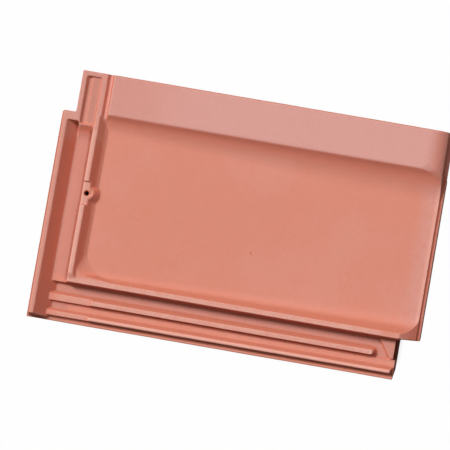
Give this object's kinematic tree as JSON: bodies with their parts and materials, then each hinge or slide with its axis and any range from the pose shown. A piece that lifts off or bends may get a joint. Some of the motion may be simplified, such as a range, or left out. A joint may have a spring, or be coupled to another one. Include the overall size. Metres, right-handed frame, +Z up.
{
  "type": "clay roof tile",
  "caption": "Pressed interlocking clay roof tile with a wide flat trough, a flat-topped side roll, ribbed water channels, a head rim and a nail hole.",
  "frame": {"origin": "on the floor, under the middle of the tile's bounding box", "axes": "+X from the head to the foot, +Y from the water channels to the covering roll, +Z up"},
  "size_m": [0.432, 0.2776, 0.0415],
  "materials": {
    "fired_clay": "matte unglazed fired clay"
  },
  "bodies": {
    "root": {"roof_tile": "fired_clay"}
  },
  "joints": []
}
